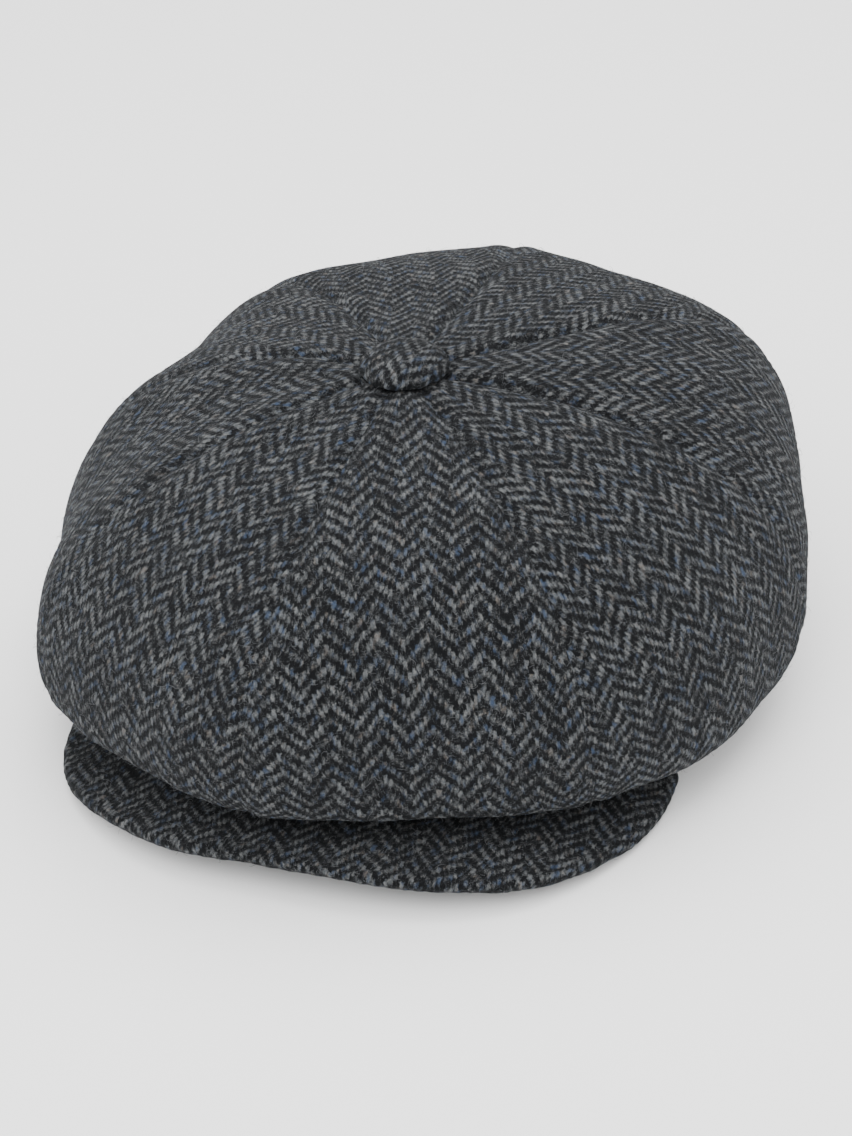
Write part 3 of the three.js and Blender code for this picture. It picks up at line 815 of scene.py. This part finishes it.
def peak_cover():
    """The upper cover: over the board, round the edge and a little way underneath."""
    foot, rim, out = peak_outline(EDGE_ROUND)
    v = np.linspace(0, 1, PEAK_ROWS + 1)[:-1, None, None]
    flat = foot + (rim - foot) * v
    top = np.concatenate([flat, peak_height(flat[..., :1])], axis=-1)
    arc = np.linspace(0, math.radians(168), 17)[:, None]
    reach = EDGE_ROUND * np.sin(arc)
    round_xy = rim + out * reach[..., None]
    round_z = peak_height(rim[:, 0]) - EDGE_ROUND * (1 - np.cos(arc))
    round_z = np.broadcast_to(round_z, reach.shape[:1] + rim.shape[:1])
    edge = np.concatenate([round_xy, round_z[..., None]], axis=-1)
    points = np.concatenate([top, edge])
    places = np.concatenate([flat, rim + out * (EDGE_ROUND * arc)[..., None]])
    threads = np.stack([places[..., 0], -places[..., 1]], axis=-1) / MM
    rows = points.shape[0] - 1
    share = np.linspace(0, 1, rows + 1)[:, None]
    lift = 0.35 * MM * unevenness(points, 45 * MM, 23) + 0.2 * MM * unevenness(points, 17 * MM, 29)
    lift = lift * smooth_step(0.0, 0.15, share) + 0.1 * MM * herringbone_ribs(threads)
    points = points + grid_normals(points) * lift[..., None] + CENTRE
    points[..., 2] = np.maximum(points[..., 2], TABLE)
    ends = [points[:PEAK_ROWS + 1, 0], points[:PEAK_ROWS + 1, -1]]
    piece = cloth_piece("tweed_peak_top", points, threads, PEAK_COVER, tweed)
    declare(piece, "wool_tweed", "peak_top_cover")
    tweed_pieces.append(piece)
    return piece, flat_cut(threads), ends


def peak_under_cover():
    """The lower cover, let into the upper one's turned edge. Its shown face looks down."""
    foot, rim, out = peak_outline(EDGE_ROUND - 0.4 * MM)
    v = np.linspace(0, 1, PEAK_ROWS + 1)[:, None, None]
    flat = foot + (rim - foot) * v
    to_edge = np.linalg.norm(rim - flat, axis=-1)
    turn_up = 1.5 * MM * np.exp(-(to_edge / (1.3 * MM)) ** 2)
    z = peak_height(flat[..., 0]) - PEAK_THICKNESS - 0.3 * MM + turn_up
    points = np.concatenate([flat, z[..., None]], axis=-1)
    threads = np.stack([flat[..., 0], -flat[..., 1]], axis=-1) / MM
    lift = 0.2 * MM * unevenness(points, 30 * MM, 31) + 0.08 * MM * herringbone_ribs(threads)
    points[..., 2] += lift
    points = points + CENTRE
    points[..., 2] = np.maximum(points[..., 2], TABLE)
    piece = cloth_piece("tweed_peak_under", points[:, ::-1], threads[:, ::-1], PEAK_COVER, tweed)
    declare(piece, "wool_tweed", "peak_bottom_cover")
    return points[:, 0], points[:, -1]


def peak_end(side, upper, lower):
    """A turned-in end of the cover, closing the peak beside the band. Both edges run outwards."""
    if side == "left":
        upper, lower = upper[::-1], lower[::-1]
    arc = np.linspace(0, math.pi, 9)[:, None, None]
    run = np.gradient(upper, axis=0)
    out = np.cross((0, 0, -1), run)
    out /= np.linalg.norm(out, axis=-1, keepdims=True)
    points = (upper + lower) / 2 + (upper - lower) / 2 * np.cos(arc) + out * 1.6 * MM * np.sin(arc)
    threads = np.stack([running_length(points, 1), running_length(points, 0)], -1) / MM
    points[..., 2] = np.maximum(points[..., 2], TABLE)
    piece = cloth_piece(f"tweed_peak_end_{side}", points, threads, 0.8 * MM, tweed)
    declare(piece, "wool_tweed")
    return piece


def peak_board():
    """The moulded board inside the covers."""
    foot, rim, _ = peak_outline(BOARD_INSET)
    foot, rim = foot[BOARD_SHORT:-BOARD_SHORT], rim[BOARD_SHORT:-BOARD_SHORT]
    v = np.linspace(0.02, 1, 17)[:, None, None]
    flat = foot + (rim - foot) * v
    points = np.concatenate([flat, peak_height(flat[..., :1]) - BOARD_DEPTH], axis=-1) + CENTRE
    threads = np.stack([flat[..., 0], -flat[..., 1]], axis=-1) / MM
    piece = cloth_piece("moulded_peak_board", points, threads, BOARD, board_plastic, 4)
    declare(piece, "peak_board_plastic", "peak_board")


def peak():
    peak_board()
    cover, (size, area), upper = peak_cover()
    lower = peak_under_cover()
    ends = [peak_end(side, upper[k], lower[k]) for k, side in enumerate(("right", "left"))]


peak()


# ---------------------------------------------------------------- button
BUTTON_HEM = 8 * MM
BUTTON_ROWS = 44
BUTTON_COLS = 96
BUTTON_UNDER = -0.5  # radians that its edge turns under
BUTTON_CLOTH = 1.2 * MM
BUTTON_TURN = math.radians(12)  # of the cloth's grain on the button


def button_cover():
    """The button's tweed: stretched over a dome, gathered underneath to the hem."""
    lift = np.linspace(math.pi / 2, BUTTON_UNDER, BUTTON_ROWS + 1)
    r = BUTTON_RADIUS * np.cos(lift)
    dome = BUTTON_HEIGHT - BUTTON_CLOTH
    base = BUTTON_LIFT + BUTTON_CLOTH
    z = base + np.where(lift > 0, dome, BUTTON_CLOTH * 1.6) * np.sin(lift)
    r[0] = 0
    under_r = np.linspace(r[-1], BUTTON_HEM, 9)[1:]
    under_z = np.full(8, BUTTON_LIFT + 0.1 * MM)
    r = np.concatenate([r, under_r])
    z = np.concatenate([z, under_z])
    inner_r = np.concatenate([[BUTTON_HEM], np.linspace(BUTTON_HEM, BUTTON_RADIUS - BUTTON_CLOTH, 7)[1:]])
    inner_z = np.full(7, base)
    up = np.linspace(0, math.pi / 2, 17)[1:]
    inner_r = np.concatenate([inner_r, (BUTTON_RADIUS - BUTTON_CLOTH) * np.cos(up)])
    inner_z = np.concatenate([inner_z, base + (dome - BUTTON_CLOTH) * np.sin(up)])
    inner_r[-1] = 0
    outer_rows = len(r)
    r, z = np.concatenate([r, inner_r]), np.concatenate([z, inner_z])
    angle = np.linspace(0, TURN, BUTTON_COLS + 1)[None]
    outside = (np.arange(len(r)) < outer_rows)[:, None]
    run = np.concatenate([[0], np.cumsum(np.hypot(np.diff(r), np.diff(z)))])[:, None]
    r, z = r[:, None], z[:, None]
    pull = smooth_step(11 * MM, 17 * MM, run) * outside
    gather = 0.28 * MM * (np.sin(11 * angle + 0.6) + 0.6 * np.sin(17 * angle + 2)) * pull
    lumps = np.stack(np.broadcast_arrays(r * np.sin(angle), r * np.cos(angle), z), axis=-1)
    soft = (0.3 * MM * unevenness(lumps, 13 * MM, 37)) * outside * smooth_step(0, 4 * MM, r)
    reach = np.maximum(r + (gather + 0.5 * soft) * smooth_step(0, 5 * MM, r), 0)
    height = z + soft * (run < 16 * MM)
    points = np.stack(np.broadcast_arrays(reach * np.sin(angle), -reach * np.cos(angle), height), axis=-1)
    grain = angle + BUTTON_TURN
    threads = np.stack(np.broadcast_arrays(run * np.sin(grain), -run * np.cos(grain)), axis=-1) / MM
    tilt = Matrix.Rotation(math.atan(TOP_TILT), 3, "X")
    points = points @ np.array(tilt).T + CENTRE + np.array((0, -TOP_FORWARD, CROWN_HEIGHT))
    piece = cloth_tube("tweed_button_cover", points, threads, tweed)
    declare(piece, "wool_tweed", "button_cover")
    tweed_pieces.append(piece)
    shown_faces[piece.name] = BUTTON_ROWS * BUTTON_COLS


button_cover()

# The hard pieces inside stay as the frame has them, in their own materials.
KEPT = {
    "button_shell": tinplate,
    "button_back_plate": tinplate,
    "button_shank": tinplate,
    "button_thread": thread_cotton,
    "button_washer": felt,
}
for name, material in KEPT.items():
    piece = bpy.data.objects[name]
    piece.data.materials.clear()
    piece.data.materials.append(material)


# ---------------------------------------------------------------- loose wool
FIBRES_PER_SQUARE_CM = 3.2
FIBRE_RADIUS = 0.045 * MM


def loose_fibres():
    """Wool fibres brushed up out of the tweed: they lie along it in curls and lift at the tip."""
    chance = np.random.default_rng(41)
    roots, normals = [], []
    for piece in tweed_pieces:
        mesh = piece.data
        count = len(mesh.polygons)
        centre, normal, area = np.empty(count * 3), np.empty(count * 3), np.empty(count)
        mesh.polygons.foreach_get("center", centre)
        mesh.polygons.foreach_get("normal", normal)
        mesh.polygons.foreach_get("area", area)
        shown = area[:shown_faces[piece.name]]
        wanted = int(shown.sum() * 1e4 * FIBRES_PER_SQUARE_CM)
        picked = chance.choice(len(shown), wanted, p=shown / shown.sum())
        roots.append(centre.reshape(-1, 3)[picked])
        normals.append(normal.reshape(-1, 3)[picked])
    roots, normals = np.concatenate(roots), np.concatenate(normals)
    number = len(roots)
    side = np.cross(normals, chance.normal(size=(number, 3)))
    side /= np.linalg.norm(side, axis=-1, keepdims=True)
    other = np.cross(normals, side)
    length = chance.uniform(1.2, 3.6, (number, 1)) * MM
    curl = chance.uniform(-2.4, 2.4, (number, 1))
    rise = chance.uniform(0.12, 0.75, (number, 1)) ** 1.4
    bend = np.where(np.abs(curl) < 0.05, 0.05, curl)  # never quite straight
    steps, sides = 4, 3
    spine = []
    for step in range(steps + 1):
        share = step / steps
        turn = curl * share
        ahead = length * np.sin(turn) / bend
        aside = length * (1 - np.cos(turn)) / bend
        up = length * rise * math.sin(share * math.pi * 0.6)
        spine.append(roots + side * ahead + other * aside + normals * (up - 0.1 * MM))
    spine = np.stack(spine, axis=1)
    spine[..., 2] = np.maximum(spine[..., 2], TABLE)
    along = np.gradient(spine, axis=1)
    along /= np.linalg.norm(along, axis=-1, keepdims=True)
    a = np.cross(along, normals[:, None])
    a /= np.maximum(np.linalg.norm(a, axis=-1, keepdims=True), 1e-9)
    b = np.cross(along, a)
    taper = FIBRE_RADIUS * np.array([1.0, 1.0, 0.9, 0.7, 0.3])[None, :, None, None]
    turn = np.arange(sides) * TURN / sides
    ring = a[:, :, None] * np.cos(turn)[:, None] + b[:, :, None] * np.sin(turn)[:, None]
    points = (spine[:, :, None] + ring * taper).reshape(-1, 3)
    one = np.arange((steps + 1) * sides).reshape(steps + 1, sides)
    quads = np.stack([one[:-1], np.roll(one, -1, 1)[:-1], np.roll(one, -1, 1)[1:], one[1:]], -1)
    base = (np.arange(number) * (steps + 1) * sides)[:, None]
    quads = (quads.reshape(1, -1) + base).reshape(-1, 4).tolist()
    ends = (one[0][::-1][None] + base).tolist() + (one[-1][None] + base).tolist()
    piece = make_mesh("loose_wool_fibres", points, quads + ends, np.zeros((len(points), 2)), wool_fibre)
    declare(piece, "wool_tweed")


loose_fibres()


# ---------------------------------------------------------------- studio
def studio():
    """A pale floor under broad soft lamps."""
    bpy.ops.mesh.primitive_plane_add(size=6, location=(0, 0, -0.05 * MM))
    floor = bpy.context.object
    floor.name = "floor"
    material, tree = new_material("matt white paper")
    finish_with(tree, "#f8f8f8", None, Roughness=0.9)
    floor.data.materials.append(material)
    lamps = (
        ("overhead", (0.1, 0.45, 1.5), 1.6, 29.5),
        ("front", (0.1, -1.05, 1.25), 1.3, 22.0),
        ("left", (-1.4, -0.5, 0.7), 1.2, 8.0),
        ("right", (1.4, -0.5, 0.7), 1.2, 8.0),
    )
    for name, place, size, watts in lamps:
        light = bpy.data.lights.new(name, "AREA")
        light.size = size
        light.energy = watts
        lamp = bpy.data.objects.new(name, light)
        lamp.location = place
        aim = Vector((0, 0, 0.06)) - Vector(place)
        lamp.rotation_euler = aim.to_track_quat("-Z", "Y").to_euler()
        bpy.context.collection.objects.link(lamp)
    world = bpy.data.worlds.new("studio")
    bpy.context.scene.world = world
    world.use_nodes = True
    sky = world.node_tree.nodes["Background"]
    sky.inputs["Color"].default_value = (1, 1, 1, 1)
    sky.inputs["Strength"].default_value = 1.3


def camera():
    """A long lens, turned a little to the wearer's left and looking down on the crown."""
    azimuth, elevation, roll = (math.radians(a) for a in (19.0, 30.08, -2.33))
    distance, lens = 0.935, 85.0
    aim_height, aim_lower, aim_aside = 0.064, 0.0215, 0.0018
    back = Vector((math.sin(azimuth) * math.cos(elevation),
                   -math.cos(azimuth) * math.cos(elevation), math.sin(elevation)))
    right = Vector((math.cos(azimuth), math.sin(azimuth), 0))
    up = back.cross(right)
    right, up = right * math.cos(roll) + up * math.sin(roll), up * math.cos(roll) - right * math.sin(roll)
    aim = Vector(CENTRE) + Vector((0, 0, aim_height))
    eye = aim + back * distance
    aim = aim - up * aim_lower + right * aim_aside
    back = (eye - aim).normalized()
    right = up.cross(back).normalized()
    up = back.cross(right)
    data = bpy.data.cameras.new("camera")
    data.lens = lens
    view = bpy.data.objects.new("camera", data)
    view.matrix_world = Matrix((right, up, back)).transposed().to_4x4()
    view.location = eye
    bpy.context.collection.objects.link(view)
    bpy.context.scene.camera = view


studio()
camera()
